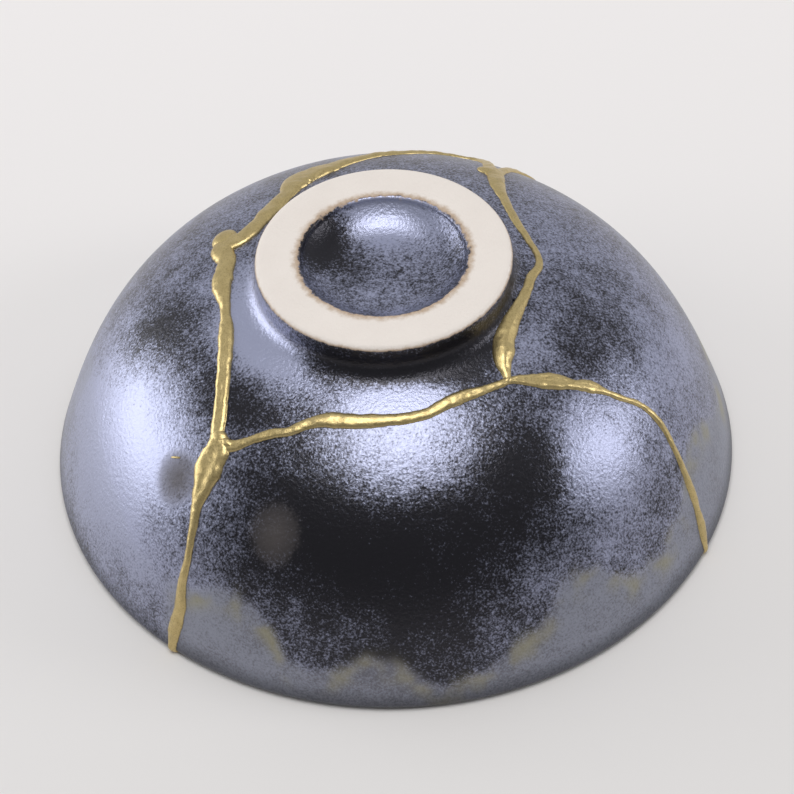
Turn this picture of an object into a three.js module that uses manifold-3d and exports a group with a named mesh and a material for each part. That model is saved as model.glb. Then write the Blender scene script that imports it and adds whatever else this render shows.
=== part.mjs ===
// A footed bowl, mended with gold: four sherds of glazed stoneware and the raised network of gold
// lacquer that joins them. It stands on its rim, foot uppermost. Millimetres and degrees, +Z up,
// origin at the centre of the rim's plane. A bearing is measured from +X, anticlockwise from above.
import * as THREE from "three";
import { mergeVertices } from "three/addons/utils/BufferGeometryUtils.js";
import Module from "manifold-3d";

const wasm = await Module();
wasm.setup();

// ---- Driving dimensions ----
const HEIGHT = 57.6;
const LIP_RADIUS = 1.75; // the lip is a half round, with a narrow flat that the bowl stands on
const LIP_FLAT = 1.1;
const LIP_FALL = 71; // slope of the wall above the lip, from the horizontal
const WALL_AT_LIP = 2 * LIP_RADIUS;
const WALL_AT_FOOT = 6.3;

// Outside of the wall, as (radius, height): the corners of one cubic curve, from the lip to the foot.
const WALL_START = new THREE.Vector2(74.9, 2.3);
const WALL_BELLY = new THREE.Vector2(67.4, 24.2);
const WALL_SHOULDER = new THREE.Vector2(60.2, 40.6);
const WALL_END = new THREE.Vector2(30.6, 49.7);

const FOOT_RADIUS = 26.8;
const FOOT_EDGE = 1.2; // rounding of the foot ring's outer edge
const FOOT_FILLET_TOP = 53.8; // height where the fillet runs out into the foot's side
const RECESS_RADIUS = 17.2;
const RECESS_EDGE = 0.9;
const RECESS_FLOOR = 52.6;
const RECESS_FLOOR_RADIUS = 12;
const RECESS_DRAFT = 0.7; // how far the recess narrows before it turns into its floor
const CEILING = 47.5; // height of the bowl's inside at its middle

// The pot was thrown, and warped a little as it dried: its rim is oval, and its foot is round.
const OVAL = 0.0163;
const OVAL_BEARING = -12;
const OVAL_FADES_AT = 48;

const SEAM_FILL = 0.6; // thickness of the lacquer between two sherds
const CLEARANCE = 0.3; // gap that every sherd keeps to the gold
const BEAD_RISE = 0.45; // height of the narrowest bead, to which a share of its width is added
const BEAD_RISE_SHARE = 0.12;
const SHOULDER_WIDTH = 0.6; // a bead's shoulders, as shares of its width and of its height
const SHOULDER_HEIGHT = 0.75;
const INSIDE_BEAD_SHARE = 0.55; // width of the bead inside the bowl, against the one outside
const PLUG_RADIUS = 1; // where seams meet, the fill between the sherds is a round plug
const LIP_BEAD_RISE = 0.7;
const GOLD_ABOVE_TABLE = 0.2;

const TURN_STEPS = 54; // facets round the bowl
const SEAM_STEP = 5.5; // length of one facet along a seam
const ROUTE_POINTS = 12; // points tried for each stop of a seam, to space its facets evenly
const PLUG_STEPS = 8; // facets round a plug, and round the lip at a seam's end
const SLOT_OVERRUN = 1.5; // how far a slot's cutter stands out of the wall on both sides

const OUTSIDE = "outside";
const INSIDE = "inside";

// ---- Seams ----
// Each stop is [bearing, distance up the outside of the wall from the lip, width of the bead].
const LEFT_KNOT = [-136.5, 48, 3.4];
const RIGHT_KNOT = [-50, 61.8, 1.6];
const BACK_KNOT = [56, 51.3, 4.4];

const LEFT_SEAM = [
  [-131, 0, 2.2], [-131, 4, 3.2], [-130.5, 10, 3], [-131, 17, 2.2], [-131, 22, 1.8],
  [-132, 30, 2.1], [-133, 34.5, 2.8], [-133.5, 38, 4.8], [-134.5, 43, 6.6], [-135, 46, 5.6],
  LEFT_KNOT,
];
const FRONT_SEAM = [
  LEFT_KNOT, [-132.5, 48.2, 2.8], [-129, 50.8, 2], [-124.5, 54.2, 2.1], [-119.5, 56.3, 2],
  [-115.5, 58.9, 2.4], [-110, 60.6, 3.2], [-102, 61.3, 3.2], [-93.5, 61.7, 2.7], [-78, 62.3, 2.4],
  [-72, 63.2, 2.7], [-66.5, 63.4, 2.7], [-59.5, 62.9, 2], RIGHT_KNOT,
];
const RIGHT_SEAM = [
  RIGHT_KNOT, [-47, 60.6, 2], [-43.5, 58.6, 2.9], [-39, 55.5, 3.8], [-35.5, 51.9, 2.4],
  [-32.5, 48.8, 2.8], [-31, 46, 1.6], [-29.5, 43, 1.4], [-26.5, 37.2, 1.4], [-26, 32, 1.6],
  [-27, 25, 1.6], [-28, 18, 1.9], [-28.5, 13, 2.4], [-29, 9.5, 1.9], [-29.5, 5.5, 2.7],
  [-30.5, 0, 1.5],
];
const SIDE_SEAM = [
  LEFT_KNOT, [-141.5, 53.5, 3.2], [-150.5, 59.5, 3.3], [-161.5, 63.4, 3.6], [-173, 64.8, 2.4],
  [-186, 64, 4.9], [-197.5, 63.4, 4.5], [-204, 60.8, 5.6], [-209, 64, 5], [-217, 64.8, 4.4],
  [-226, 63.8, 4.8], [-237, 61.2, 4.5], [-244, 57.2, 7.5], [-252, 55.7, 6], [-260.5, 53, 4],
  [-269, 49, 3], [-277, 45.5, 2.5], [-284, 39.5, 2.3], [-293, 37, 2.3], [-297, 41, 2.8],
  [-300.5, 47, 3.2], [BACK_KNOT[0] - 360, 51.3, 4.4],
];
const FOOT_SEAM = [
  BACK_KNOT, [50, 57.6, 3.5], [44, 61, 2.4], [30.5, 65.2, 2.1], [18, 66, 1.7], [7.5, 65.7, 1.7],
  [3.5, 66.3, 1.9], [-1.5, 68, 2.1], [-13, 69.3, 2.4], [-24.5, 70, 3.2], [-34.5, 69.4, 4.3],
  [-43, 67.2, 4.6], [-46, 65.7, 4.1], [-48.5, 63.6, 2.4], RIGHT_KNOT,
];
const BACK_SEAM = [
  BACK_KNOT, [56.5, 46, 2.6], [57, 40, 2.2], [55, 30, 2], [57, 18, 2], [56, 8, 2.4], [56, 0, 2],
];
const SEAMS = [LEFT_SEAM, FRONT_SEAM, RIGHT_SEAM, SIDE_SEAM, FOOT_SEAM, BACK_SEAM];

// Places where three seams meet, and the seams' ends at the rim.
const PLUGS = [LEFT_KNOT, RIGHT_KNOT, BACK_KNOT];
const RIM_ENDS = [LEFT_SEAM[0], RIGHT_SEAM.at(-1), BACK_SEAM.at(-1)];

// ---- Materials ----
const glaze = new THREE.MeshStandardMaterial({ color: 0x3d3f52, roughness: 0.32, metalness: 0.35 });
const footGlaze = new THREE.MeshStandardMaterial({ color: 0x4a4b5c, roughness: 0.36, metalness: 0.3 });
const gold = new THREE.MeshStandardMaterial({ color: 0xbfa45c, roughness: 0.34, metalness: 0.9 });

// ---- Profile of the bowl ----
const radians = THREE.MathUtils.degToRad;
const at = (radius, height) => new THREE.Vector2(radius, height);

const wallCurve = new THREE.CubicBezierCurve(WALL_START, WALL_BELLY, WALL_SHOULDER, WALL_END);
const wallEndSlope = wallCurve.getTangent(1);
const filletReach = (WALL_END.x - FOOT_RADIUS) / -wallEndSlope.x;
const filletCorner = WALL_END.clone().addScaledVector(wallEndSlope, filletReach);
const footStart = at(FOOT_RADIUS, FOOT_FILLET_TOP);
const filletCurve = new THREE.QuadraticBezierCurve(WALL_END, filletCorner, footStart);
const WALL_LENGTH = wallCurve.getLength();
const FILLET_LENGTH = filletCurve.getLength();

// The outward normal of a profile that runs from the rim upwards and inwards.
const normalOf = (tangent) => at(tangent.y, -tangent.x);

function wallThickness(up) {
  return THREE.MathUtils.lerp(WALL_AT_LIP, WALL_AT_FOOT, Math.min(up / WALL_LENGTH, 1));
}

// A point of the outside, with the direction out of the wall and the thickness under it.
function outsideAt(up) {
  const along = THREE.MathUtils.clamp(up / WALL_LENGTH, 0, 1);
  const normal = normalOf(wallCurve.getTangentAt(along));
  if (up <= WALL_LENGTH) {
    return { point: wallCurve.getPointAt(along), normal, depth: wallThickness(up) };
  }
  const point = filletCurve.getPointAt(Math.min((up - WALL_LENGTH) / FILLET_LENGTH, 1));
  const lift = point.clone().sub(WALL_END).dot(normal);
  return { point, normal, depth: WALL_AT_FOOT + lift };
}

function insideAt(up) {
  const { point, normal, depth } = outsideAt(up);
  return point.addScaledVector(normal, -depth);
}

const lipNormal = at(Math.sin(radians(LIP_FALL)), Math.cos(radians(LIP_FALL)));
const lipCentre = WALL_START.clone().addScaledVector(lipNormal, -LIP_RADIUS);

// A stretch of the lip's half round, from one angle to another, both measured from straight down.
function lipArc(from, to, steps) {
  return Array.from({ length: steps }, (_, i) => {
    const angle = radians(THREE.MathUtils.lerp(from, to, i / (steps - 1)) - 90);
    return at(lipCentre.x + LIP_RADIUS * Math.cos(angle), LIP_RADIUS + LIP_RADIUS * Math.sin(angle));
  });
}

function profile() {
  const recessTop = at(RECESS_RADIUS, HEIGHT - RECESS_EDGE);
  const recessFoot = at(RECESS_FLOOR_RADIUS, RECESS_FLOOR);
  const recessCorner = at(RECESS_RADIUS - RECESS_DRAFT, RECESS_FLOOR);
  const recess = new THREE.QuadraticBezierCurve(recessFoot, recessCorner, recessTop);
  const ceilingEdge = insideAt(WALL_LENGTH);
  const ceilingReach = (CEILING - ceilingEdge.y) / wallEndSlope.y;
  const ceilingCorner = at(ceilingEdge.x + ceilingReach * wallEndSlope.x, CEILING);
  const ceiling = new THREE.QuadraticBezierCurve(ceilingEdge, ceilingCorner, at(0, CEILING));
  const insideStops = [0.05, 0.23, 0.4, 0.56, 0.7, 0.84];
  return [
    at(0, RECESS_FLOOR),
    ...recess.getPoints(3),
    at(RECESS_RADIUS + RECESS_EDGE, HEIGHT),
    at(FOOT_RADIUS - FOOT_EDGE, HEIGHT),
    at(FOOT_RADIUS, HEIGHT - FOOT_EDGE),
    ...filletCurve.getPoints(3).reverse(),
    ...wallCurve.getSpacedPoints(9).reverse().slice(1),
    ...lipArc(85, 45, 2),
    at(lipCentre.x + LIP_FLAT / 2, 0),
    at(lipCentre.x - LIP_FLAT / 2, 0),
    ...lipArc(-45, -85, 2),
    ...insideStops.map((share) => insideAt(share * WALL_LENGTH)),
    ...ceiling.getPoints(3),
  ];
}

// ---- Solids ----
function ovalFactor(bearing, height) {
  const fade = THREE.MathUtils.clamp(1 - height / OVAL_FADES_AT, 0, 1);
  return 1 + OVAL * fade * Math.cos(2 * radians(bearing - OVAL_BEARING));
}

// Stretches a round geometry, in place, to the oval of the pot.
function makeOval(geometry) {
  const position = geometry.getAttribute("position");
  for (let i = 0; i < position.count; i++) {
    const [x, y, z] = [position.getX(i), position.getY(i), position.getZ(i)];
    const factor = ovalFactor(THREE.MathUtils.radToDeg(Math.atan2(y, x)), z);
    position.setXY(i, x * factor, y * factor);
  }
  return geometry;
}

// A closed geometry as a manifold solid, whichever way round its faces were listed.
function solid(geometry) {
  const plain = new THREE.BufferGeometry();
  plain.setAttribute("position", geometry.getAttribute("position").clone());
  if (geometry.index) plain.setIndex(geometry.index.clone());
  const merged = mergeVertices(plain, 1e-4);
  const corners = merged.index.array;
  const triVerts = [];
  for (let i = 0; i < corners.length; i += 3) {
    const [a, b, c] = [corners[i], corners[i + 1], corners[i + 2]];
    if (a !== b && b !== c && c !== a) triVerts.push(a, b, c);
  }
  const vertProperties = merged.getAttribute("position").array;
  const build = (faces) =>
    new wasm.Manifold(new wasm.Mesh({ numProp: 3, vertProperties, triVerts: new Uint32Array(faces) }));
  const made = build(triVerts);
  return made.volume() > 0 ? made : build(triVerts.reverse());
}

function meshOf(name, made, material) {
  const { vertProperties, triVerts } = made.getMesh();
  const geometry = new THREE.BufferGeometry();
  geometry.setAttribute("position", new THREE.BufferAttribute(vertProperties, 3));
  geometry.setIndex(new THREE.BufferAttribute(triVerts, 1));
  geometry.computeVertexNormals();
  const mesh = new THREE.Mesh(geometry, material);
  mesh.name = name;
  return mesh;
}

// Heights of the gold over a face of the wall: its underside, its shoulders and its crest.
function beadHeights(width) {
  const rise = BEAD_RISE + BEAD_RISE_SHARE * width;
  return { base: CLEARANCE, shoulder: SHOULDER_HEIGHT * rise, crest: rise };
}

// A point off the outside or the inside of the wall, reached from a stop by a step across the seam.
function wallPoint(stop, [face, across, off]) {
  const up = Math.max(stop.up + across * stop.sideUp, 0);
  const { point, normal } = outsideAt(up);
  const bearing = radians(stop.bearing) + (across * stop.sideAround) / point.x;
  const place = face === OUTSIDE ? point : insideAt(up);
  place.addScaledVector(normal, face === OUTSIDE ? off : -off);
  return new THREE.Vector3(place.x * Math.cos(bearing), place.x * Math.sin(bearing), place.y);
}

// Sections are lists of [face, step across the seam, distance off that face].
function beadSection(width) {
  const { base, shoulder, crest } = beadHeights(width);
  const [half, fill] = [width / 2, SEAM_FILL / 2];
  const inner = half * INSIDE_BEAD_SHARE;
  return [
    [OUTSIDE, -half, base], [OUTSIDE, -SHOULDER_WIDTH * half, shoulder], [OUTSIDE, 0, crest],
    [OUTSIDE, SHOULDER_WIDTH * half, shoulder], [OUTSIDE, half, base], [OUTSIDE, fill, base],
    [INSIDE, fill, base], [INSIDE, inner, base], [INSIDE, 0, shoulder], [INSIDE, -inner, base],
    [INSIDE, -fill, base], [OUTSIDE, -fill, base],
  ];
}

function slotSection() {
  const half = SEAM_FILL / 2 + CLEARANCE;
  return [
    [OUTSIDE, -half, SLOT_OVERRUN], [OUTSIDE, half, SLOT_OVERRUN],
    [INSIDE, half, SLOT_OVERRUN], [INSIDE, -half, SLOT_OVERRUN],
  ];
}

// The stops of a seam, a facet apart, each with the direction across the seam on the wall.
function seamStops(seam) {
  const route = new THREE.CatmullRomCurve3(seam.map((stop) => new THREE.Vector3(...stop)));
  const fine = route.getPoints(seam.length * ROUTE_POINTS).map(({ x, y, z }) => ({
    bearing: x, up: y, width: z, radius: outsideAt(y).point.x,
  }));
  const apart = (a, b) => Math.hypot(radians(b.bearing - a.bearing) * a.radius, b.up - a.up);
  const stops = [fine[0]];
  for (const stop of fine) {
    if (apart(stops.at(-1), stop) >= SEAM_STEP) stops.push(stop);
  }
  if (apart(stops.at(-1), fine.at(-1)) < SEAM_STEP / 2) stops.pop();
  stops.push(fine.at(-1));
  return stops.map((stop, i) => {
    const before = stops[Math.max(0, i - 1)];
    const after = stops[Math.min(stops.length - 1, i + 1)];
    const around = radians(after.bearing - before.bearing) * stop.radius;
    const along = at(around, after.up - before.up).normalize();
    return { ...stop, sideAround: along.y, sideUp: -along.x };
  });
}

// A closed solid along a seam, through the ring of points that a section gives at each stop.
function seamSolid(seam, sectionOf) {
  const stops = seamStops(seam);
  const count = sectionOf(1).length;
  const rings = stops.map((stop) => sectionOf(stop.width).map((entry) => wallPoint(stop, entry)));
  const index = [];
  for (let ring = 0; ring + 1 < rings.length; ring++) {
    for (let i = 0; i < count; i++) {
      const a = ring * count + i;
      const b = ring * count + ((i + 1) % count);
      index.push(a, b, b + count, a, b + count, a + count);
    }
  }
  const flat = sectionOf(2).map(([face, across, off]) => {
    return at(across, face === OUTSIDE ? off : -WALL_AT_LIP - off);
  });
  const end = (rings.length - 1) * count;
  for (const [a, b, c] of THREE.ShapeUtils.triangulateShape(flat, [])) {
    index.push(a, b, c, end + a, end + c, end + b);
  }
  const geometry = new THREE.BufferGeometry().setFromPoints(rings.flat());
  geometry.setIndex(index);
  return solid(makeOval(geometry));
}

// A round solid that stands square through the wall. Its half profile lists [radius, face, distance
// off that face].
function plugSolid([bearing, up], halfProfile) {
  const { point, normal, depth } = outsideAt(up);
  const points = halfProfile.map(([radius, face, off]) => {
    return at(radius, face === OUTSIDE ? off : -depth - off);
  });
  const plug = new THREE.LatheGeometry(points, PLUG_STEPS);
  const around = new THREE.Vector3(Math.cos(radians(bearing)), Math.sin(radians(bearing)), 0);
  const out = around.clone().multiplyScalar(normal.x).setZ(normal.y);
  plug.applyQuaternion(new THREE.Quaternion().setFromUnitVectors(new THREE.Vector3(0, 1, 0), out));
  plug.translate(around.x * point.x, around.y * point.x, point.y);
  return solid(makeOval(plug));
}

function plugProfile(radius, overrun) {
  return [
    [0, OUTSIDE, overrun], [radius, OUTSIDE, overrun],
    [radius, INSIDE, overrun], [0, INSIDE, overrun],
  ];
}

// The end of a seam at the rim: a disc that wraps the bead round the lip.
function rimEndSolid([bearing, , width], clearance) {
  const radius = LIP_RADIUS + LIP_BEAD_RISE + clearance;
  const disc = new THREE.CylinderGeometry(radius, radius, width + 2 * clearance, PLUG_STEPS);
  disc.translate(lipCentre.x, 0, 0);
  disc.applyMatrix4(new THREE.Matrix4().makeRotationZ(radians(bearing)));
  disc.translate(0, 0, LIP_RADIUS);
  return solid(makeOval(disc));
}

const joined = (pieces) => pieces.reduce((sum, piece) => sum.add(piece));

function goldNetwork() {
  return joined([
    ...SEAMS.map((seam) => seamSolid(seam, beadSection)),
    ...PLUGS.map((plug) => plugSolid(plug, plugProfile(PLUG_RADIUS, CLEARANCE))),
    ...RIM_ENDS.map((end) => rimEndSolid(end, 0)),
  ]);
}

function slotNetwork() {
  return joined([
    ...SEAMS.map((seam) => seamSolid(seam, slotSection)),
    ...PLUGS.map((plug) => plugSolid(plug, plugProfile(PLUG_RADIUS + CLEARANCE, SLOT_OVERRUN))),
    ...RIM_ENDS.map((end) => rimEndSolid(end, CLEARANCE)),
  ]);
}

function bearingOf(piece) {
  const { vertProperties } = piece.getMesh();
  const sum = at(0, 0);
  for (let i = 0; i < vertProperties.length; i += 3) {
    sum.add(at(vertProperties[i], vertProperties[i + 1]));
  }
  return THREE.MathUtils.radToDeg(sum.angle());
}

// ---- The bowl ----
const whole = solid(makeOval(new THREE.LatheGeometry(profile(), TURN_STEPS).rotateX(Math.PI / 2)));
const roomWidth = 3 * WALL_START.x;
const aboveTable = new THREE.BoxGeometry(roomWidth, roomWidth, HEIGHT);
aboveTable.translate(0, 0, GOLD_ABOVE_TABLE + HEIGHT / 2);
const seams = goldNetwork().intersect(solid(aboveTable));
const [footSherd, ...wallSherds] = whole
  .subtract(slotNetwork())
  .decompose()
  .sort((a, b) => b.boundingBox().max[2] - a.boundingBox().max[2]);

// Bearing of the middle of each sherd of the wall.
const WALL_SHERDS = { front_sherd: 280, left_sherd: 144, right_sherd: 13 };

function nearestSherd(bearing) {
  const off = (piece) => Math.abs(((bearingOf(piece) - bearing + 540) % 360) - 180);
  return wallSherds.reduce((best, piece) => (off(piece) < off(best) ? piece : best));
}

const bowl = new THREE.Group();
bowl.name = "kintsugi_bowl";
bowl.add(meshOf("foot_sherd", footSherd, footGlaze));
for (const [name, bearing] of Object.entries(WALL_SHERDS)) {
  bowl.add(meshOf(name, nearestSherd(bearing), glaze));
}
bowl.add(meshOf("gold_seam", seams, gold));

export default bowl;
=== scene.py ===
"""A footed stoneware bowl, broken in four and mended with gold, standing on its rim.

The form is worked out in millimetres and each finished mesh is brought to metres. A bearing is in
degrees from +X, anticlockwise from above. "up" is the distance from the lip up the outside of the
wall; it is negative round the lip.
"""
import bisect
import math

import bmesh
import bpy
import numpy as np
from mathutils import Matrix, Vector, noise


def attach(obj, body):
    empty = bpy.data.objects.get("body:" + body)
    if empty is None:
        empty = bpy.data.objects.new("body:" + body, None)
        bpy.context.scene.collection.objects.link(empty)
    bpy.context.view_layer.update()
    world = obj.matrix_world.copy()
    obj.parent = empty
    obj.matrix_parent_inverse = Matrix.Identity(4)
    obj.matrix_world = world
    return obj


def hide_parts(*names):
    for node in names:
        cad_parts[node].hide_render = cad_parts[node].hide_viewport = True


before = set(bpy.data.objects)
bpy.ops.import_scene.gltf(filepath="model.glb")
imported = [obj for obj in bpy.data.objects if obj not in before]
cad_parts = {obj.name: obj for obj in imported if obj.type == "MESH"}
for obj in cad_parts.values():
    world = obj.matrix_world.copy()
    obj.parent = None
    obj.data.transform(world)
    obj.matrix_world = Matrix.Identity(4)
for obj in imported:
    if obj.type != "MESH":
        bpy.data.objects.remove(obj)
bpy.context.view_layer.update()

MM = 0.001

# ---- Driving sizes of the pot ----
HEIGHT = 57.6
LIP_RADIUS = 1.75
WALL_AT_LIP = 2 * LIP_RADIUS
WALL_AT_FOOT = 6.3
WALL = [(74.9, 2.3), (67.4, 24.2), (60.2, 40.6), (30.6, 49.7)]
FOOT_RADIUS = 26.8
FOOT_EDGE = 1.2
FILLET_TOP = 53.8
RECESS_RADIUS = 17.2
RECESS_EDGE = 0.9
RECESS_FLOOR = 52.6
RECESS_FLOOR_RADIUS = 8.8
RECESS_DRAFT = 3.6
CEILING = 47.5
OVAL = 0.0163
OVAL_BEARING = -12
OVAL_FADES_AT = 48
INSET = 0.9986  # the round pot stays inside the faceted one's box
CLEAR_OF_BOX = 0.005

# ---- Driving sizes of the gold ----
FILL = 0.6
SLOT = 0.66
OVERRUN = 1.5
SUNK = 0.08  # how far a bead's skirt sits in the glaze
BEAD_RISE = 0.34
BEAD_RISE_SHARE = 0.13
MOST_RISE = 1.15
INSIDE_SHARE = 0.55
GOLD_ABOVE_TABLE = 0.2
DOME_FLATNESS = 2.2
DOME_EDGE = 0.6
WIDE_BEAD = 3  # from here a bead is flatter, and its edges are more ragged
WIDE_IS_FLATTER = 0.6
RAGGED_FROM = 3.5
RAGGED_TO = 6
CREASE_REACH = 0.33
CREASE_REACH_SHARE = 0.04
CREASE_DEPTH = 0.75
INSIDE_RISE = 0.62
INSIDE_SHARES = (1, 0.75, 0.3, -0.3, -0.75, -1)

# How uneven the gold is: [amount, length of the wave in mm].
CREST_WAVE = [0.22, 3.1]
EDGE_WAVE = [0.15, 2.7]
EDGE_NICKS = [0.09, 0.8]
CREASE_WAVE = [0.16, 4.3]
SKIN_LUMPS = [[0.09, 1.3], [0.045, 0.55]]
SEED_STEP = 11.3  # sets the seams' waves apart
INSIDE_SEED = 20

# ---- How finely each form is divided ----
TURN_STEPS = 384
WALL_STEPS = 300
FILLET_STEPS = 60
FOOT_STEPS = 10
PROFILE_STEP = 0.7
FLOOR_STEP = 1.5
RECESS_STEPS = 14
EDGE_STEPS = 6
LIP_STEPS = 9
INSIDE_STEPS = 56
CEILING_STEPS = 22
BEAD_STEP = 0.34
SLOT_STEP = 1.2
ACROSS = 20
BEAD_RING = ACROSS + 1 + 2 + len(INSIDE_SHARES) + 2

# Stops of each seam: [bearing, up, width of the bead, crease]. A crease above 0 is a groove along
# the bead's middle, and one below 0 is a ridge.
LEFT_KNOT = [-136.5, 48, 3.4, 0]
RIGHT_KNOT = [-50, 61.8, 1.6, 0]
BACK_KNOT = [56, 51.3, 4.4, 0]
LEFT_SEAM = [
    [-131, -3.2, 2.0, 0], [-131, 0, 2.2, 0], [-131, 4, 3.2, 0], [-130.5, 10, 3, 0.1], [-131, 17, 2.2, 0],
    [-131, 22, 1.8, 0], [-132, 30, 2.1, 0], [-133, 34.5, 2.8, 0], [-133.5, 38, 4.6, 0.15],
    [-134.5, 43, 6.6, 0.22], [-135, 46, 5.8, 0.15], LEFT_KNOT,
]
FRONT_SEAM = [
    LEFT_KNOT, [-132.5, 48.2, 2.8, 0.2], [-129, 50.8, 2, 0.1], [-124.5, 54.2, 2.1, 0.15],
    [-119.5, 56.3, 2, 0.1], [-115.5, 58.9, 2.4, 0], [-110, 60.6, 3.2, 0], [-102, 61.3, 3.2, 0],
    [-93.5, 61.7, 2.7, 0], [-78, 62.3, 2.4, 0], [-72, 63.2, 2.7, 0.1], [-66.5, 63.4, 2.7, 0.25],
    [-59.5, 62.9, 2, 0.2], RIGHT_KNOT,
]
RIGHT_SEAM = [
    RIGHT_KNOT, [-47, 60.6, 2, 0.3], [-43.5, 58.6, 2.9, 0.55], [-39, 55.5, 3.8, 0.5],
    [-35.5, 51.9, 2.4, 0.2], [-32.5, 48.8, 2.8, 0.2], [-31, 46, 1.6, 0], [-29.5, 43, 1.4, 0],
    [-26.5, 37.2, 1.4, 0], [-26, 32, 1.6, 0], [-27, 25, 1.6, 0], [-28, 18, 1.9, 0],
    [-28.5, 13, 2.4, 0], [-29, 9.5, 1.9, 0], [-29.5, 5.5, 2.7, 0], [-30.5, 0, 1.5, 0],
    [-30.5, -3.2, 1.4, 0],
]
SIDE_SEAM = [
    LEFT_KNOT, [-141.5, 53.5, 3.2, 0.3], [-150.5, 59.5, 3.3, 0.25], [-161.5, 63.4, 3.6, 0.1],
    [-173, 64.8, 2.4, 0], [-186, 64, 4.9, 0], [-197.5, 63.4, 4.5, 0], [-204, 60.8, 5.6, 0],
    [-209, 64, 5, 0], [-217, 64.8, 4.4, 0], [-226, 63.8, 4.8, 0], [-237, 61.2, 4.5, 0],
    [-244, 57.2, 7.5, 0], [-252, 55.7, 6, 0], [-260.5, 53, 4, 0], [-269, 49, 3, 0],
    [-277, 45.5, 2.5, 0], [-284, 39.5, 2.3, 0], [-293, 37, 2.3, 0], [-297, 41, 2.8, 0],
    [-300.5, 47, 3.2, 0], [BACK_KNOT[0] - 360, 51.3, 4.4, 0],
]
FOOT_SEAM = [
    BACK_KNOT, [50, 57.6, 3.5, 0], [44, 61, 2.4, 0], [30.5, 65.2, 2.1, 0], [18, 66, 1.7, 0],
    [7.5, 65.7, 1.7, 0], [3.5, 66.3, 1.9, 0], [-1.5, 68, 2.1, 0], [-13, 69.3, 2.4, 0],
    [-24.5, 70, 3.2, -0.2], [-34.5, 69.4, 4.3, -0.5], [-43, 67.2, 4.6, -0.6], [-46, 65.7, 4.1, -0.5],
    [-48.5, 63.6, 2.4, -0.2], RIGHT_KNOT,
]
BACK_SEAM = [
    BACK_KNOT, [56.5, 46, 2.6, 0], [57, 40, 2.2, 0], [55, 30, 2, 0], [57, 18, 2, 0], [56, 8, 2.4, 0],
    [56, 0, 2, 0], [56, -3.2, 1.8, 0],
]
SEAMS = [LEFT_SEAM, FRONT_SEAM, RIGHT_SEAM, SIDE_SEAM, FOOT_SEAM, BACK_SEAM]

KNOTS = [LEFT_KNOT, RIGHT_KNOT, BACK_KNOT]
KNOT_SPREAD = 0.25  # how much wider than the fill the gold is where seams meet
KNOT_OVERRUN = 0.1

# Drops of lacquer that swell the seams: [bearing, up, half length round, half length up, height, turn].
DROPS = [
    [-136.3, 48.3, 2.1, 1.7, 0.95, 10],
    [-133.6, 48.4, 1.7, 1.0, 0.9, 0],
    [-208.3, 59.4, 3.1, 2.9, 1.25, 0],
    [57.5, 51, 3.2, 2.2, 1.0, 0],
    [-50, 61.9, 1.1, 0.8, 0.7, 0],
]
CRUMB = [-143, 39.4, 1.25, 0.24, 0.22, 33]  # a shred of gold left on the glaze, told like a drop
PINHOLE = [-19.6, 71.3, 0.5]  # a bubble that burst in the glaze: [bearing, up, radius]


def lerp(a, b, share):
    return a + (b - a) * share


def clamp(value, low=0.0, high=1.0):
    return max(low, min(high, value))


def soft(low, high, value):
    """0 at low and 1 at high, with a soft start and end, for a number or an array."""
    share = np.clip((value - low) / (high - low), 0, 1)
    return share * share * (3 - 2 * share)


# ---- The pot's outside, as a table from the lip to the foot ----
def bezier(corners, share):
    points = [Vector(corner) for corner in corners]
    while len(points) > 1:
        points = [a.lerp(b, share) for a, b in zip(points, points[1:])]
    return points[0]


def trace(corners, steps):
    return [bezier(corners, i / steps) for i in range(steps + 1)]


def square_to(tangent):
    """The way out of the wall, for a profile that runs from the lip upwards and inwards."""
    return Vector((tangent.y, -tangent.x)).normalized()


wall_end = Vector(WALL[-1])
wall_end_slope = (wall_end - Vector(WALL[-2])).normalized()
wall_end_normal = square_to(wall_end_slope)
fillet_reach = (wall_end.x - FOOT_RADIUS) / -wall_end_slope.x
fillet_corner = wall_end + wall_end_slope * fillet_reach
foot_start = Vector((FOOT_RADIUS, FILLET_TOP))
lip_slope = (Vector(WALL[1]) - Vector(WALL[0])).normalized()
lip_normal = square_to(lip_slope)
lip_centre = Vector(WALL[0]) - lip_normal * LIP_RADIUS
LIP_QUARTER = LIP_RADIUS * math.pi / 2

foot_end = Vector((FOOT_RADIUS, HEIGHT - FOOT_EDGE))
outside = trace(WALL, WALL_STEPS)
outside += trace([wall_end, fillet_corner, foot_start], FILLET_STEPS)[1:]
outside += trace([foot_start, foot_end], FOOT_STEPS)[1:]
outside_heights = [point.y for point in outside]
ups = [0.0]
for before, after in zip(outside, outside[1:]):
    ups.append(ups[-1] + (after - before).length)
WALL_LENGTH = ups[WALL_STEPS]


def wall_at(up):
    """A point of the outside, the way out there, the same inside, and the way out inside."""
    if up < 0:
        angle = min(-up / LIP_RADIUS, math.pi / 2)
        spare = max(0.0, -up - LIP_QUARTER)
        down = -lip_slope
        out = lip_normal * math.cos(angle) + down * math.sin(angle)
        into = -lip_normal * math.cos(angle) + down * math.sin(angle)
        centre = lip_centre + down * spare
        return centre + out * LIP_RADIUS, out, centre + into * LIP_RADIUS, into
    i = min(max(bisect.bisect_right(ups, up) - 1, 0), len(ups) - 2)
    share = clamp((up - ups[i]) / (ups[i + 1] - ups[i]))
    point = outside[i].lerp(outside[i + 1], share)
    a = square_to(outside[i + 1] - outside[max(i - 1, 0)])
    b = square_to(outside[min(i + 2, len(outside) - 1)] - outside[i])
    out = a.lerp(b, share).normalized()
    if up <= WALL_LENGTH:
        return point, out, point - out * lerp(WALL_AT_LIP, WALL_AT_FOOT, up / WALL_LENGTH), -out
    depth = WALL_AT_FOOT + (point - wall_end).dot(wall_end_normal)
    return point, out, point - wall_end_normal * depth, -wall_end_normal


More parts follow.
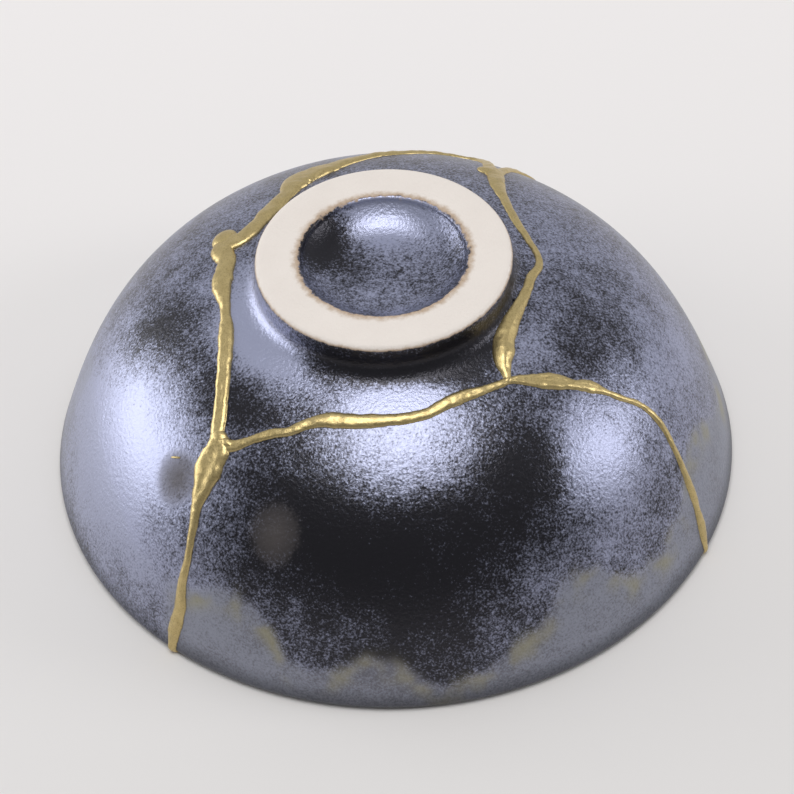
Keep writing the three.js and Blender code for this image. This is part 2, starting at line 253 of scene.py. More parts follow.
def oval(bearing, height):
    """How far the pot's radius departs from round, at a bearing in radians."""
    fade = clamp(1 - height / OVAL_FADES_AT)
    return INSET * (1 + OVAL * fade * math.cos(2 * (bearing - math.radians(OVAL_BEARING))))


def on_pot(place, bearing):
    """A (radius, height) place of the round profile, at a bearing in radians, on the oval pot."""
    radius = place.x * oval(bearing, place.y)
    return Vector((radius * math.cos(bearing), radius * math.sin(bearing), place.y))


# ---- Meshes ----
def tool_object(name, bm):
    """Puts a mesh into the scene as it is, in millimetres, to be cut or joined."""
    mesh = bpy.data.meshes.new(name)
    bm.to_mesh(mesh)
    bm.free()
    made = bpy.data.objects.new(name, mesh)
    bpy.context.scene.collection.objects.link(made)
    return made


def finished(name, bm, material):
    """Puts a mesh that was made in millimetres into the scene, in metres."""
    bmesh.ops.scale(bm, vec=(MM, MM, MM), verts=bm.verts)
    made = tool_object(name, bm)
    made.data.shade_smooth()
    made.data.materials.append(material)
    return made


def combined(base, others, operation):
    """The mesh of base after it is joined with, or cut by, the others, which are used up."""
    for other in others:
        step = base.modifiers.new(other.name, "BOOLEAN")
        step.operation = operation
        step.solver = "MANIFOLD"
        step.object = other
    graph = bpy.context.evaluated_depsgraph_get()
    bm = bmesh.new()
    bm.from_object(base, graph)
    for used in [base, *others]:
        mesh = used.data
        bpy.data.objects.remove(used)
        bpy.data.meshes.remove(mesh)
    return bm


def pot_profile():
    """The pot's whole section, from the middle of the recess round to the middle of the ceiling."""
    inside_end = wall_at(WALL_LENGTH)[2]
    ceiling_reach = (CEILING - inside_end.y) / wall_end_slope.y
    ceiling_corner = Vector((inside_end.x + ceiling_reach * wall_end_slope.x, CEILING))
    recess_top = Vector((RECESS_RADIUS, HEIGHT - RECESS_EDGE))
    recess_foot = Vector((RECESS_FLOOR_RADIUS, RECESS_FLOOR))
    recess_corner = Vector((RECESS_RADIUS - RECESS_DRAFT, RECESS_FLOOR))
    recess_edge = Vector((RECESS_RADIUS + RECESS_EDGE, HEIGHT - RECESS_EDGE))
    foot_edge = Vector((FOOT_RADIUS - FOOT_EDGE, HEIGHT - FOOT_EDGE))
    quarter = [math.pi / 2 * i / EDGE_STEPS for i in range(1, EDGE_STEPS + 1)]
    floor_steps = math.ceil(RECESS_FLOOR_RADIUS / FLOOR_STEP)
    profile = [Vector((FLOOR_STEP * i, RECESS_FLOOR)) for i in range(floor_steps)]
    profile += trace([recess_foot, recess_corner, recess_top], RECESS_STEPS)
    profile += [recess_edge + RECESS_EDGE * Vector((-math.cos(a), math.sin(a))) for a in quarter]
    land = foot_edge.x - recess_edge.x
    profile += [Vector((recess_edge.x + land * i / FOOT_STEPS, HEIGHT)) for i in range(1, FOOT_STEPS + 1)]
    profile += [foot_edge + FOOT_EDGE * Vector((math.sin(a), math.cos(a))) for a in quarter]
    stops = [PROFILE_STEP * i for i in range(1, int(ups[-1] / PROFILE_STEP))]
    profile += [wall_at(up)[0] for up in reversed(stops)]
    lip = [-LIP_QUARTER * i / LIP_STEPS for i in range(LIP_STEPS + 1)]
    profile += [wall_at(up)[0] for up in lip]
    profile += [wall_at(up)[2] for up in reversed(lip[:-1])]
    profile += [wall_at(WALL_LENGTH * i / INSIDE_STEPS)[2] for i in range(1, INSIDE_STEPS + 1)]
    profile += trace([inside_end, ceiling_corner, Vector((0, CEILING))], CEILING_STEPS)[1:]
    return profile


def thrown_pot():
    """The whole pot, turned about its axis and then drawn to its oval."""
    bm = bmesh.new()
    verts = [bm.verts.new((max(place.x, 0), 0, place.y)) for place in pot_profile()]
    edges = [bm.edges.new(pair) for pair in zip(verts, verts[1:])]
    bmesh.ops.spin(
        bm, geom=verts + edges, cent=(0, 0, 0), axis=(0, 0, 1), angle=2 * math.pi,
        steps=TURN_STEPS, use_merge=True,
    )
    bmesh.ops.remove_doubles(bm, verts=bm.verts, dist=1e-3)
    bmesh.ops.recalc_face_normals(bm, faces=bm.faces)
    for vert in bm.verts:
        factor = oval(math.atan2(vert.co.y, vert.co.x), vert.co.z)
        vert.co.x *= factor
        vert.co.y *= factor
        vert.co.z = clamp(vert.co.z, CLEAR_OF_BOX, HEIGHT - CLEAR_OF_BOX)
    return bm


# ---- Seams ----
def route(seam, step):
    """Even stations along a seam, each a dict of its values and of the direction across it."""
    radii = [wall_at(stop[1])[0].x for stop in seam]
    flat = [Vector((math.radians(stop[0]), stop[1], stop[2], stop[3])) for stop in seam]
    gaps = []
    for i in range(len(flat) - 1):
        radius = (radii[i] + radii[i + 1]) / 2
        move = flat[i + 1] - flat[i]
        gaps.append(math.hypot(move.x * radius, move.y))
    slopes = [(b - a) / gap for a, b, gap in zip(flat, flat[1:], gaps)]
    leans = [slopes[0]]
    for i in range(1, len(slopes)):
        near, far = gaps[i - 1], gaps[i]
        leans.append((slopes[i - 1] * far + slopes[i] * near) / (near + far))
    leans.append(slopes[-1])
    total = sum(gaps)
    count = max(2, round(total / step))
    starts = [0.0]
    for gap in gaps:
        starts.append(starts[-1] + gap)
    places = []
    for k in range(count + 1):
        along = total * k / count
        i = min(max(bisect.bisect_right(starts, along) - 1, 0), len(gaps) - 1)
        t = (along - starts[i]) / gaps[i]
        a = 2 * t**3 - 3 * t**2 + 1
        b = t**3 - 2 * t**2 + t
        c = -2 * t**3 + 3 * t**2
        d = t**3 - t**2
        value = flat[i] * a + leans[i] * (gaps[i] * b) + flat[i + 1] * c + leans[i + 1] * (gaps[i] * d)
        places.append((along, value))
    stations = []
    for k, (along, value) in enumerate(places):
        before = places[max(k - 1, 0)][1]
        after = places[min(k + 1, count)][1]
        radius = wall_at(value.y)[0].x
        way = Vector(((after.x - before.x) * radius, after.y - before.y)).normalized()
        stations.append({
            "along": along, "bearing": value.x, "up": value.y, "width": value.z, "crease": value.w,
            "radius": radius, "side": Vector((way.y, -way.x)),
        })
    return stations


def seam_point(station, inside, across, off):
    """A point off the wall's outside or inside, a step across a seam from one of its stations."""
    up = station["up"] + across * station["side"].y
    point, out, inner, into = wall_at(up)
    bearing = station["bearing"] + across * station["side"].x / station["radius"]
    place = inner + into * off if inside else point + out * off
    return on_pot(place, bearing)


def swept(stations, ring_at, count):
    """A closed bar: a sheet is rolled round the seam, with its long edges joined and its ends shut."""
    bm = bmesh.new()
    length = len(stations) - 1
    bmesh.ops.create_grid(bm, x_segments=length, y_segments=count, size=0.5)
    rings = [ring_at(station) for station in stations]
    for vert in bm.verts:
        ring = rings[round((vert.co.x + 0.5) * length)]
        vert.co = ring[round((vert.co.y + 0.5) * count) % count]
    bmesh.ops.remove_doubles(bm, verts=bm.verts, dist=1e-5)
    bmesh.ops.holes_fill(bm, edges=bm.edges, sides=0)
    bmesh.ops.recalc_face_normals(bm, faces=bm.faces)
    return bm


def slot_ring(station):
    """The section of the cut between two sherds."""
    half = SLOT / 2
    return [
        seam_point(station, False, -half, OVERRUN), seam_point(station, False, half, OVERRUN),
        seam_point(station, True, half, OVERRUN), seam_point(station, True, -half, OVERRUN),
    ]


def wander(station, seed, lane, wave):
    """A slow wave along a seam, different for each seed and lane."""
    return wave[0] * noise.noise(Vector((station["along"] / wave[1], seed, lane)))


def bead_offset(station, share, seed):
    """Height of the bead's skin off the glaze, at a share of its half width from -1 to 1."""
    width = station["width"]
    crest = min(BEAD_RISE + BEAD_RISE_SHARE * width, MOST_RISE)
    crest *= 1 + wander(station, seed, 0, CREST_WAVE)
    flatness = DOME_FLATNESS + max(0.0, width - WIDE_BEAD) * WIDE_IS_FLATTER
    dome = (1 - abs(share) ** flatness) ** DOME_EDGE
    middle = wander(station, seed, 7, CREASE_WAVE)
    reach = CREASE_REACH + CREASE_REACH_SHARE * width
    crease = station["crease"] * math.exp(-(((share - middle) / reach) ** 2))
    return crest * dome * (1 - CREASE_DEPTH * crease)


def bead_ring(seed):
    """A function that gives the gold's section at a station: the bead, the fill and the inner bead."""
    def ring_at(station):
        half = station["width"] / 2
        ragged = 1 + float(soft(RAGGED_FROM, RAGGED_TO, station["width"]))
        sides = []
        for side in (-1, 1):
            wave = wander(station, seed, 3 * side, EDGE_WAVE)
            nick = wander(station, seed, 5 * side, EDGE_NICKS)
            sides.append(half * (1 + wave) + ragged * nick)
        ring = []
        for k in range(ACROSS + 1):
            share = math.sin(math.pi / 2 * (2 * k / ACROSS - 1))
            across = share * (sides[0] if share < 0 else sides[1])
            off = -SUNK
            if 0 < k < ACROSS:
                base = seam_point(station, False, across, 0)
                rough = sum(size * noise.noise(base / reach) for size, reach in SKIN_LUMPS)
                off = bead_offset(station, share, seed) + rough * (1 - abs(share) ** 3)
            ring.append(seam_point(station, False, across, off))
        fill = FILL / 2
        inner = half * INSIDE_SHARE
        ring.append(seam_point(station, False, fill, -SUNK))
        ring.append(seam_point(station, True, fill, -SUNK))
        for share in INSIDE_SHARES:
            off = -SUNK if abs(share) == 1 else INSIDE_RISE * bead_offset(station, share, seed + INSIDE_SEED)
            ring.append(seam_point(station, True, inner * share, off))
        ring.append(seam_point(station, True, -fill, -SUNK))
        ring.append(seam_point(station, False, -fill, -SUNK))
        return ring
    return ring_at


def drop(bearing, up, half_round, half_up, height, turn):
    """A pat of lacquer, its outline a little uneven, that sits on the wall."""
    point, out, _, _ = wall_at(up)
    angle = math.radians(bearing)
    place = on_pot(point, angle)
    normal = Vector((math.cos(angle) * out.x, math.sin(angle) * out.x, out.y))
    side = Vector((-math.sin(angle), math.cos(angle), 0))
    rise = normal.cross(side)
    bm = bmesh.new()
    bmesh.ops.create_icosphere(bm, subdivisions=4, radius=1)
    spun = Matrix.Rotation(math.radians(turn), 4, "Z")
    stretch = Matrix.Diagonal((half_round, half_up, height, 1))
    stand = Matrix.Translation(place) @ Matrix((side, rise, normal)).transposed().to_4x4()
    for vert in bm.verts:
        vert.co *= 1 + 0.04 * noise.noise(vert.co * 1.6 + place)
    bmesh.ops.transform(bm, matrix=stand @ spun @ stretch, verts=bm.verts)
    return bm


def plug(knot, radius, overrun):
    """A round bar through the wall where seams meet."""
    bearing = math.radians(knot[0])
    point, out, inner, into = wall_at(knot[1])
    top = on_pot(point + out * overrun, bearing)
    bottom = on_pot(inner + into * overrun, bearing)
    bm = bmesh.new()
    bmesh.ops.create_cone(
        bm, cap_ends=True, segments=20, radius1=radius, radius2=radius, depth=(top - bottom).length,
    )
    turn = (top - bottom).to_track_quat("Z", "Y").to_matrix().to_4x4()
    bmesh.ops.transform(bm, matrix=Matrix.Translation((top + bottom) / 2) @ turn, verts=bm.verts)
    return bm


def pinhole():
    """A ball that cuts the pinhole."""
    bm = bmesh.new()
    bmesh.ops.create_icosphere(bm, subdivisions=3, radius=PINHOLE[2])
    place = on_pot(wall_at(PINHOLE[1])[0], math.radians(PINHOLE[0]))
    bmesh.ops.translate(bm, vec=place, verts=bm.verts)
    return bm


def islands(bm):
    """The separate closed bodies of a mesh, as lists of their vertices."""
    left = set(bm.verts)
    found = []
    while left:
        start = left.pop()
        body = [start]
        fresh = [start]
        while fresh:
            for link in fresh.pop().link_edges:
                for other in link.verts:
                    if other in left:
                        left.remove(other)
                        body.append(other)
                        fresh.append(other)
        found.append(body)
    return found


SHERD_SHARP = 50  # an edge bent by more degrees than this stays sharp
GOLD_SHARP = 60
SHERDS = ["foot_sherd", "front_sherd", "left_sherd", "right_sherd"]
SHERD_MIDDLES = {"front_sherd": 280, "left_sherd": 144, "right_sherd": 13}


def sherd_name(verts):
    """The foot's sherd reaches the top. The others are told apart by the bearing of their middle."""
    if max(vert.co.z for vert in verts) > HEIGHT - 1:
        return "foot_sherd"
    middle = sum((vert.co for vert in verts), Vector()) / len(verts)
    bearing = math.degrees(math.atan2(middle.y, middle.x))
    return min(SHERD_MIDDLES, key=lambda name: abs((bearing - SHERD_MIDDLES[name] + 540) % 360 - 180))


def broken_pot(material):
    """The pot, cut along its seams into four sherds."""
    pot = tool_object("pot", thrown_pot())
    cutters = [tool_object(f"slot_{i}", swept(route(seam, SLOT_STEP), slot_ring, 4))
               for i, seam in enumerate(SEAMS)]
    cutters += [tool_object(f"plug_{i}", plug(knot, SLOT / 2, OVERRUN)) for i, knot in enumerate(KNOTS)]
    cutters.append(tool_object("pinhole", pinhole()))
    bm = combined(pot, cutters, "DIFFERENCE")
    bodies = sorted(islands(bm), key=len, reverse=True)[:len(SHERDS)]
    keep = {sherd_name(body): {vert.index for vert in body} for body in bodies}
    sherds = []
    for name in SHERDS:
        part = bm.copy()
        spare = [vert for vert in part.verts if vert.index not in keep[name]]
        bmesh.ops.delete(part, geom=spare, context="VERTS")
        sherd = finished("stoneware_" + name, part, material)
        sherd.data.set_sharp_from_angle(angle=math.radians(SHERD_SHARP))
        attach(sherd, "root")
        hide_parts(name)
        sherds.append(sherd)
    bm.free()
    return sherds


def gold_network(material):
    """All the gold on the seams as one closed body, and the crumb beside it."""
    beads = [tool_object(f"bead_{i}", swept(route(seam, BEAD_STEP), bead_ring(SEED_STEP * i), BEAD_RING))
             for i, seam in enumerate(SEAMS)]
    beads += [tool_object(f"drop_{i}", drop(*entry)) for i, entry in enumerate(DROPS)]
    knot_radius = FILL / 2 + KNOT_SPREAD
    beads += [tool_object(f"knot_{i}", plug(knot, knot_radius, KNOT_OVERRUN))
              for i, knot in enumerate(KNOTS)]
    bm = combined(beads[0], beads[1:], "UNION")
    cut = bmesh.ops.bisect_plane(
        bm, geom=bm.verts[:] + bm.edges[:] + bm.faces[:], plane_co=(0, 0, GOLD_ABOVE_TABLE),
        plane_no=(0, 0, 1), clear_inner=True,
    )
    rims = [part for part in cut["geom_cut"] if isinstance(part, bmesh.types.BMEdge)]
    bmesh.ops.holes_fill(bm, edges=rims, sides=0)
    seam = finished("gold_lacquer_seam", bm, material)
    seam.data.set_sharp_from_angle(angle=math.radians(GOLD_SHARP))
    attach(seam, "root")
    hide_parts("gold_seam")
    crumb = finished("gold_crumb", drop(*CRUMB), material)
    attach(crumb, "root")


# ---- Marks in the glaze, with painted highlights and painted shade ----
# Height of the pale band above the lip, round the pot: (bearing, up).
DIP_LINE = [
    (-230, 14), (-215, 18), (-200, 16), (-190, 22), (-180, 26), (-170, 27), (-160, 25), (-150, 21),
    (-142, 17), (-136, 15), (-131, 16.5), (-126, 19), (-121, 20), (-117, 19.5), (-113, 15.5),
    (-110, 9), (-106, 6), (-102, 8), (-97, 12), (-92, 11), (-87, 5), (-82, 4), (-78, 5), (-74, 8),
    (-70, 10.5), (-66, 14), (-62, 18.5), (-58, 20), (-54, 18.5), (-50, 13), (-46, 10), (-42, 10.5),
    (-38, 12), (-34, 14), (-30, 17), (-26, 20.5), (-22, 22), (-18, 21), (-14, 17), (-10, 12.5),
    (-5, 10), (5, 12), (16, 16), (28, 12), (42, 17), (55, 14), (70, 18), (85, 13), (100, 17),
    (115, 12), (130, 14),
]

# Soft clouds in the glaze: [bearing, up, reach round in mm, reach up in mm, strength]. Above 0 the
# blue bloom is dense, and below 0 the glaze is black. Some are the glaze's own clouds. Others are
# painted light: bloom heaped where the lamps' highlights fall on the front wall and the foot's fillet,
# and black painted shade on the fillet in front, where the wall only reflects the dark room.
GLAZE_CLOUDS_AND_PAINTED_LIGHT = [
    [-153, 42, 15, 13, 0.26], [-158, 22, 22, 11, 0.45], [-92, 53, 16, 6.5, 0.42], [-45, 38, 8, 10, 0.4],
    [-86, 34, 16, 12, -0.36], [-104, 36, 12, 14, -0.2], [-62, 36, 9, 9, -0.14], [-122, 31, 8, 8, -0.18],
    [-114, 49, 9, 6, -0.28], [-92, 72, 26, 3.5, -0.55], [-55, 54, 8, 6, -0.24], [-14, 54, 11, 7, -0.22],
    [-36, 65, 8, 4, 0.2], [-160, 70, 10, 4, 0.5], [-136, 70, 8, 3.5, 0.3], [-130, 58, 9, 5, -0.26],
    [-177, 46, 4, 6, -0.3], [-84, 65.5, 8, 3, 0.75], [-142, 67, 7, 4, 0.3], [-88, 9, 14, 6, -0.2],
    [-60, 25, 12, 8, 0.1], [-8, 32, 16, 12, 0.2],
    [-92, 20, 14, 6, -0.04], [-63, 67, 6, 4, -0.4], [-38, 22, 8, 6, -0.12], [-178, 62, 20, 7, 0.1],
    [15, 60, 14, 8, 0.12], [-168, 53, 11, 6, -0.3], [-143, 54, 6, 5, -0.28], [-68, 45, 7, 5, -0.14],
    [-140, 26, 6, 5, -0.2], [-52, 30, 5, 5, -0.1], [-56, 43, 5, 5, -0.25],
]

# The same in the foot's recess: [x, y, reach, strength]. The strongest, on the far wall, is a painted
# highlight where a lamp reflects.
RECESS_CLOUDS_AND_PAINTED_LIGHT = [[2, 15.5, 6, 0.6], [-13.5, 7.5, 4, -0.65], [2, -4, 9, 0.06], [-4, 3, 4, -0.14]]

# Matte brown patches: [bearing, up, reach round, reach up].
STAINS = [[-115, 35.5, 4.2, 5.2], [-140, 36.5, 4, 4.6]]

BLOOM = 0.46  # how dense the bloom is away from the clouds
OUTSIDE_SHARE = 0.985  # what lies this far out, or up to OUTSIDE_DEPTH further in, is the outside
OUTSIDE_DEPTH = 0.8
DIP_HIGHEST = 40
DIP_FADE = 1.8
DIP_WAVES = [[0.5, 23, 0], [0.35, 41, 2]]  # [height, waves a turn, phase]
OLIVE_BELOW = 2.2
OLIVE_REACH = 2.8


def bell(bearing, up, radius, mark):
    """1 at the middle of a mark, falling off softly over its reach."""
    around = np.radians((bearing - mark[0] + 540) % 360 - 180) * radius / mark[2]
    along = (up - mark[1]) / mark[3]
    return np.exp(-0.5 * (around**2 + along**2))


def mark_glaze(sherd):
    """Paints bloom with its painted highlights and painted shade, dip, the dip's edge and stain on the mesh,
    for the glaze to read.
    """
    mesh = sherd.data
    places = np.empty(len(mesh.vertices) * 3)
    mesh.vertices.foreach_get("co", places)
    x, y, z = places.reshape(-1, 3).T / MM
    radius = np.hypot(x, y)
    bearing = np.degrees(np.arctan2(y, x))
    up = np.interp(z, outside_heights, ups)
    wall_radius = np.interp(up, ups, [point.x for point in outside])
    is_outside = (radius > wall_radius * OUTSIDE_SHARE - OUTSIDE_DEPTH) & (z < HEIGHT - 0.5)
    is_recess = (radius < RECESS_RADIUS + 0.6) & (z > RECESS_FLOOR - 1)

    bloom_and_painted_light = np.full(len(z), BLOOM)
    for cloud in GLAZE_CLOUDS_AND_PAINTED_LIGHT:
        bloom_and_painted_light += is_outside * cloud[4] * bell(bearing, up, radius, cloud)
    for cloud in RECESS_CLOUDS_AND_PAINTED_LIGHT:
        gap = np.hypot(x - cloud[0], y - cloud[1]) / cloud[2]
        bloom_and_painted_light += is_recess * cloud[3] * np.exp(-0.5 * gap**2)
    bearings, heights = np.array(DIP_LINE).T
    line = np.interp((bearing + 230) % 360 - 230, bearings, heights)
    for height, waves, phase in DIP_WAVES:
        line = line + height * np.sin(np.radians(bearing) * waves + phase)
    low_down = is_outside & (up < DIP_HIGHEST)
    dip = low_down * soft(line + DIP_FADE, line - DIP_FADE, up)
    # The band is weaker on the left, where the bloom covers it, and at the back.
    dip *= 1 - 0.8 * soft(-131, -135, bearing) - 0.4 * soft(150, 170, bearing)
    edge = low_down * np.exp(-(((up - line + OLIVE_BELOW) / OLIVE_REACH) ** 2))
    edge *= soft(-135, -130, bearing) * soft(30, 10, bearing)
    stain = sum(is_outside * bell(bearing, up, radius, mark) for mark in STAINS)
    paint = mesh.color_attributes.new(name="glaze_marks_and_painted_light", type="FLOAT_COLOR", domain="POINT")
    values = np.stack([np.clip(bloom_and_painted_light, 0, 1), dip, edge, np.clip(stain, 0, 1)], axis=1)
    paint.data.foreach_set("color", values.ravel())


# ---- Materials ----
def rgb(red, green, blue):
    return (red, green, blue, 1)


BLACK = rgb(0.026, 0.025, 0.031)
BLUE = rgb(0.36, 0.38, 0.52)
BAND_DARK = rgb(0.15, 0.15, 0.18)
BAND_PALE = rgb(0.29, 0.305, 0.37)
OLIVE = rgb(0.34, 0.315, 0.19)
BROWN = rgb(0.075, 0.065, 0.064)
CLAY_DARK = rgb(0.73, 0.665, 0.615)
CLAY_PALE = rgb(0.80, 0.74, 0.69)
TOAST = rgb(0.37, 0.24, 0.13)
PIT = rgb(0.25, 0.15, 0.08)
GOLD_DARK = rgb(0.45, 0.345, 0.15)
GOLD_PALE = rgb(0.70, 0.56, 0.28)
GOLD_PAINTED_SHADE = rgb(0.22, 0.15, 0.05)
# Painted light: the floor is darker near the camera and brighter away from it.
FLOOR_NEAR_PAINTED_SHADE = rgb(0.72, 0.70, 0.69)
FLOOR_FAR_PAINTED_LIGHT = rgb(0.92, 0.885, 0.88)

# Noise textures: (waves a mm, detail, roughness).
FINE_SPECK = (2.1, 3, 0.65)
COARSE_SPECK = (0.7, 3, 0.6)
MOTTLE = (0.13, 3, 0.55)
OLIVE_PATCHES = (0.11, 2, 0.5)
CLAY_TONE = (0.12, 3, 0.5)
CLAY_EDGE = (0.7, 4, 0.65)
CLAY_PITS = (1.3, 3, 0.7)
ORANGE_PEEL = (1.25, 2, 0.6)
GOLD_TONE = (0.5, 3, 0.6)
GOLD_POWDER = (3.2, 2, 0.6)

# Ranges: (where it starts, where it ends).
CRYSTALS_GROW = (0.2, 0.82)
OLIVE_SHOWS = (0.4, 0.65)
BROWN_SHOWS = (0.3, 0.6)
PITS_SHOW = (0.72, 0.8)
LIP_SHADE = (0.6, 7, 0.32, 1)  # darkens the glaze from 7 mm above the table down to 0.6 mm
CLAY_INSIDE = (RECESS_RADIUS + 0.25, RECESS_RADIUS + 0.75)
CLAY_OUTSIDE = (HEIGHT - 0.95, HEIGHT - 0.65)
TOAST_INSIDE = (RECESS_RADIUS + 0.5, RECESS_RADIUS + 2.4)
TOAST_OUTSIDE = (HEIGHT - 0.8, HEIGHT - 0.15)
GLAZE_ROUGHNESS = (0.28, 0.38)  # in the black, and in the crystals
GLAZE_METAL = (0.7, 0.68)
GOLD_ROUGHNESS = (0.3, 0.42)
CLAY_ROUGHNESS = 0.85


def feed(tree, socket, value):
    """Links a value to a socket, or sets it there."""
    if isinstance(value, bpy.types.NodeSocket):
        tree.links.new(value, socket)
    else:
        socket.default_value = value


def put(tree, kind, inputs=None, **settings):
    made = tree.nodes.new(kind)
    for key, value in settings.items():
        setattr(made, key, value)
    for key, value in (inputs or {}).items():
        feed(tree, made.inputs[key], value)
    return made


def sums(tree, operation, first, second):
    return put(tree, "ShaderNodeMath", {0: first, 1: second}, operation=operation).outputs[0]


def plus(tree, first, *others):
    for other in others:
        first = sums(tree, "ADD", first, other)
    return first


def times(tree, first, *others):
    for other in others:
        first = sums(tree, "MULTIPLY", first, other)
    return first


def blend(tree, share, a, b, mode="MIX"):
    made = put(tree, "ShaderNodeMix", data_type="RGBA", blend_type=mode)
    for index, value in ((0, share), (6, a), (7, b)):
        feed(tree, made.inputs[index], value)
    return made.outputs[2]


def ramp(tree, value, low, high, out_low=0.0, out_high=1.0, kind="SMOOTHSTEP"):
    inputs = dict(enumerate((value, low, high, out_low, out_high)))
    return put(tree, "ShaderNodeMapRange", inputs, interpolation_type=kind, clamp=True).outputs[0]


def straight(tree, share, out_low, out_high):
    """A value that goes straight from out_low to out_high as share goes from 0 to 1."""
    return ramp(tree, share, 0, 1, out_low, out_high, "LINEAR")


def grain(tree, place, texture):
    scale, detail, rough = texture
    inputs = {"Vector": place, "Scale": scale, "Detail": detail, "Roughness": rough}
    return put(tree, "ShaderNodeTexNoise", inputs).outputs["Fac"]


def swing(tree, place, texture, amount):
    """A noise texture that swings about 0."""
    return times(tree, sums(tree, "SUBTRACT", grain(tree, place, texture), 0.5), amount)


def new_material(name):
    material = bpy.data.materials.new(name)
    material.use_nodes = True
    tree = material.node_tree
    tree.nodes.clear()
    shader = tree.nodes.new("ShaderNodeBsdfPrincipled")
    output = tree.nodes.new("ShaderNodeOutputMaterial")
    tree.links.new(shader.outputs[0], output.inputs[0])
    return material, tree, shader


def millimetres(tree):
    coords = put(tree, "ShaderNodeTexCoord")
    scaled = put(tree, "ShaderNodeMapping", {"Vector": coords.outputs["Object"], "Scale": (1 / MM,) * 3})
    return scaled.outputs[0]


def bumps(tree, shader, height, strength, distance):
    inputs = {"Height": height, "Strength": strength, "Distance": distance * MM}
    feed(tree, shader.inputs["Normal"], put(tree, "ShaderNodeBump", inputs).outputs[0])


def bare_clay(tree, place, z):
    """Where the foot ring has no glaze, and the clay's colour there, toasted where the glaze stops."""
    x, y, _ = put(tree, "ShaderNodeSeparateXYZ", {"Vector": place}).outputs
    radius = sums(tree, "POWER", plus(tree, times(tree, x, x), times(tree, y, y)), 0.5)
    ragged = swing(tree, place, CLAY_EDGE, 2.4)
    inner = plus(tree, radius, ragged)
    inside_line = ramp(tree, inner, *CLAY_INSIDE)
    outside_line = ramp(tree, plus(tree, z, times(tree, ragged, 0.35)), *CLAY_OUTSIDE)
    toast_in = ramp(tree, inner, *TOAST_INSIDE, 1, 0)
    toast_out = ramp(tree, plus(tree, z, times(tree, ragged, 0.3)), *TOAST_OUTSIDE, 1, 0)
    toast = sums(tree, "MAXIMUM", toast_in, toast_out)
    pink = blend(tree, grain(tree, place, CLAY_TONE), CLAY_DARK, CLAY_PALE)
    pink = blend(tree, times(tree, toast, 0.8), pink, TOAST)
    pits = ramp(tree, grain(tree, place, CLAY_PITS), *PITS_SHOW)
    pink = blend(tree, times(tree, pits, 0.7), pink, PIT)
    return times(tree, inside_line, outside_line), pink


def glaze_material():
    material, tree, shader = new_material("metallic_glaze")
    place = millimetres(tree)
    marks_and_painted_light = put(tree, "ShaderNodeAttribute", attribute_name="glaze_marks_and_painted_light", attribute_type="GEOMETRY")
    split = put(tree, "ShaderNodeSeparateColor", {"Color": marks_and_painted_light.outputs["Color"]})
    bloom_and_painted_light, dip, edge = split.outputs
    stain = marks_and_painted_light.outputs["Alpha"]
    z = put(tree, "ShaderNodeSeparateXYZ", {"Vector": place}).outputs[2]

    # Crystals of about half a millimetre, denser where the bloom is strong, and so denser on the painted
    # highlights.
    speck = plus(tree, swing(tree, place, FINE_SPECK, 1.35), swing(tree, place, COARSE_SPECK, 0.45))
    mottle = swing(tree, place, MOTTLE, 0.5)
    density = plus(tree, bloom_and_painted_light, mottle, times(tree, dip, 0.16))
    crystals = ramp(tree, plus(tree, density, speck), *CRYSTALS_GROW)

    colour = blend(tree, crystals, BLACK, BLUE)
    colour = blend(tree, dip, colour, blend(tree, crystals, BAND_DARK, BAND_PALE))
    olive = times(tree, edge, ramp(tree, grain(tree, place, OLIVE_PATCHES), *OLIVE_SHOWS))
    colour = blend(tree, times(tree, olive, 0.7), colour, OLIVE)
    patchy = plus(tree, stain, mottle, times(tree, speck, 0.5))
    brown = times(tree, stain, ramp(tree, patchy, *BROWN_SHOWS))
    colour = blend(tree, times(tree, brown, 0.85), colour, BROWN)
    colour = blend(tree, 1.0, colour, ramp(tree, z, *LIP_SHADE), "MULTIPLY")
    clay, pink = bare_clay(tree, place, z)
    feed(tree, shader.inputs["Base Color"], blend(tree, clay, colour, pink))

    gloss = straight(tree, crystals, *GLAZE_ROUGHNESS)
    gloss = plus(tree, gloss, times(tree, brown, 0.2), times(tree, dip, 0.04))
    feed(tree, shader.inputs["Roughness"], straight(tree, clay, gloss, CLAY_ROUGHNESS))
    metal = times(tree, straight(tree, crystals, *GLAZE_METAL), straight(tree, brown, 1, 0.4))
    feed(tree, shader.inputs["Metallic"], times(tree, metal, sums(tree, "SUBTRACT", 1, clay)))
    peel = plus(tree, grain(tree, place, ORANGE_PEEL), times(tree, crystals, 0.12))
    bumps(tree, shader, peel, 0.6, 0.2)
    return material


def gold_material():
    material, tree, shader = new_material("gold_lacquer")
    place = millimetres(tree)
    powder = grain(tree, place, GOLD_POWDER)
    colour = blend(tree, grain(tree, place, GOLD_TONE), GOLD_DARK, GOLD_PALE)
    # Painted shade: the gold is darkened where the powder's bump sinks lowest.
    colour = blend(tree, ramp(tree, powder, 0.35, 0.5, 0.35, 0), colour, GOLD_PAINTED_SHADE)
    feed(tree, shader.inputs["Base Color"], colour)
    feed(tree, shader.inputs["Metallic"], 0.92)
    feed(tree, shader.inputs["Roughness"], ramp(tree, powder, 0.3, 0.7, *GOLD_ROUGHNESS))
    bumps(tree, shader, powder, 0.35, 0.08)
    return material


def floor_material():
    material, tree, shader = new_material("pale_sweep")
    place = put(tree, "ShaderNodeSeparateXYZ", {"Vector": millimetres(tree)})
    # Painted light: the sweep brightens from near to far, as the light falls on it.
    away = ramp(tree, place.outputs["Y"], -180, 320)
    feed(tree, shader.inputs["Base Color"], blend(tree, away, FLOOR_NEAR_PAINTED_SHADE, FLOOR_FAR_PAINTED_LIGHT))
    feed(tree, shader.inputs["Roughness"], 0.7)
    return material


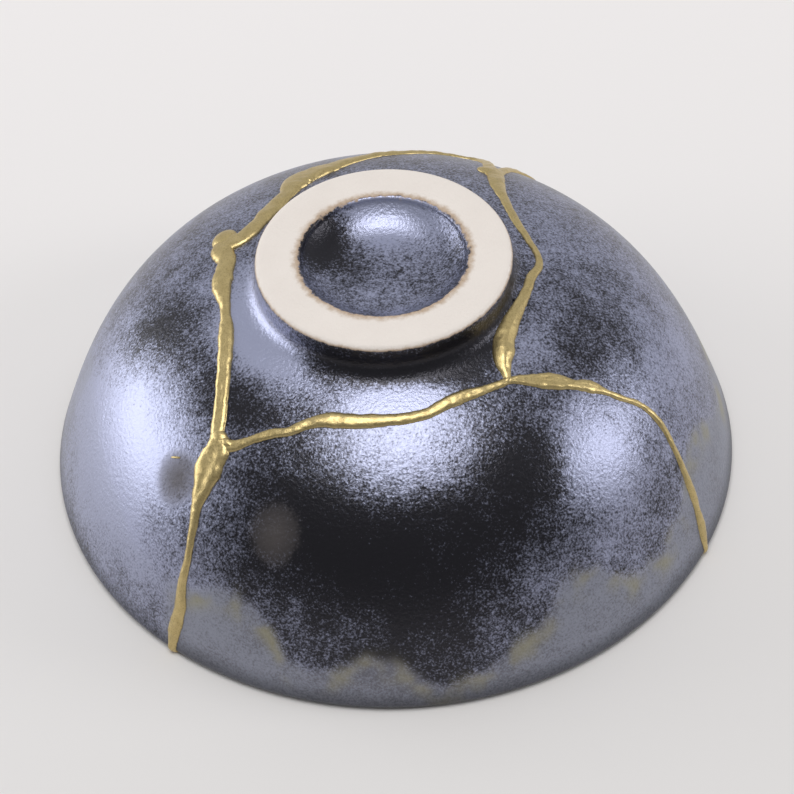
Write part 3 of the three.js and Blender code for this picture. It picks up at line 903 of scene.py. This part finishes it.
# ---- The studio ----
# [name, bearing, elevation, distance in m, width in m, height in m, radiance, colour]
SOFTBOXES = [
    ["overhead", -90, 82, 1.1, 0.75, 0.58, 4.9, (1, 1, 0.99)],
    ["left_window", 166, 8, 1.2, 1.0, 0.75, 3.5, (0.98, 0.99, 1)],
    ["right_fill", -4, 24, 1.2, 0.45, 0.38, 5.6, (0.99, 0.99, 1)],
]
LIT_MIDDLE = Vector((0, 0, 35)) * MM
FLOOR_REACH = 1500
ROOM_COLOUR = rgb(0.97, 0.98, 1.0)
ROOM_LIGHT = (-0.35, 0.75, 0.24, 0.62)  # darker in front, brighter behind
EYE = Vector((1.102, -296.238, 346.771)) * MM
LOOKS_AT = Vector((1.10, 11.55, 0)) * MM
ROLL = -3.309
SENSOR = 36
LENS = 90.68


def facing(place, target):
    return (target - place).to_track_quat("-Z", "Y")


def stood(name, data, place, turn):
    """Puts a lamp or a camera into the scene."""
    made = bpy.data.objects.new(name, data)
    made.location = place
    made.rotation_mode = "QUATERNION"
    made.rotation_quaternion = turn
    bpy.context.scene.collection.objects.link(made)
    return made


def softbox(name, bearing, elevation, distance, width, height, radiance, colour):
    light = bpy.data.lights.new(name, "AREA")
    light.shape = "RECTANGLE"
    light.size = width
    light.size_y = height
    light.energy = radiance * math.pi * width * height
    light.color = colour
    turn, lift = math.radians(bearing), math.radians(elevation)
    way = Vector((math.cos(turn) * math.cos(lift), math.sin(turn) * math.cos(lift), math.sin(lift)))
    place = LIT_MIDDLE + way * distance
    stood(name, light, place, facing(place, LIT_MIDDLE))


def studio():
    bm = bmesh.new()
    bmesh.ops.create_grid(bm, x_segments=1, y_segments=1, size=FLOOR_REACH)
    floor = finished("sweep", bm, floor_material())

    world = bpy.data.worlds.new("studio")
    world.use_nodes = True
    tree = world.node_tree
    coords = put(tree, "ShaderNodeTexCoord")
    way = put(tree, "ShaderNodeSeparateXYZ", {"Vector": coords.outputs["Generated"]})
    room = tree.nodes["Background"]
    feed(tree, room.inputs["Strength"], ramp(tree, way.outputs["Y"], *ROOM_LIGHT))
    feed(tree, room.inputs["Color"], ROOM_COLOUR)
    bpy.context.scene.world = world
    for entry in SOFTBOXES:
        softbox(*entry)

    camera = bpy.data.cameras.new("camera")
    camera.sensor_width = SENSOR
    camera.lens = LENS
    camera.clip_start = 0.01
    roll = Matrix.Rotation(math.radians(ROLL), 4, "Z").to_quaternion()
    bpy.context.scene.camera = stood("camera", camera, EYE, facing(EYE, LOOKS_AT) @ roll)
    bpy.context.scene.view_settings.view_transform = "Standard"


glaze = glaze_material()
gold = gold_material()
for sherd in broken_pot(glaze):
    mark_glaze(sherd)
gold_network(gold)
studio()
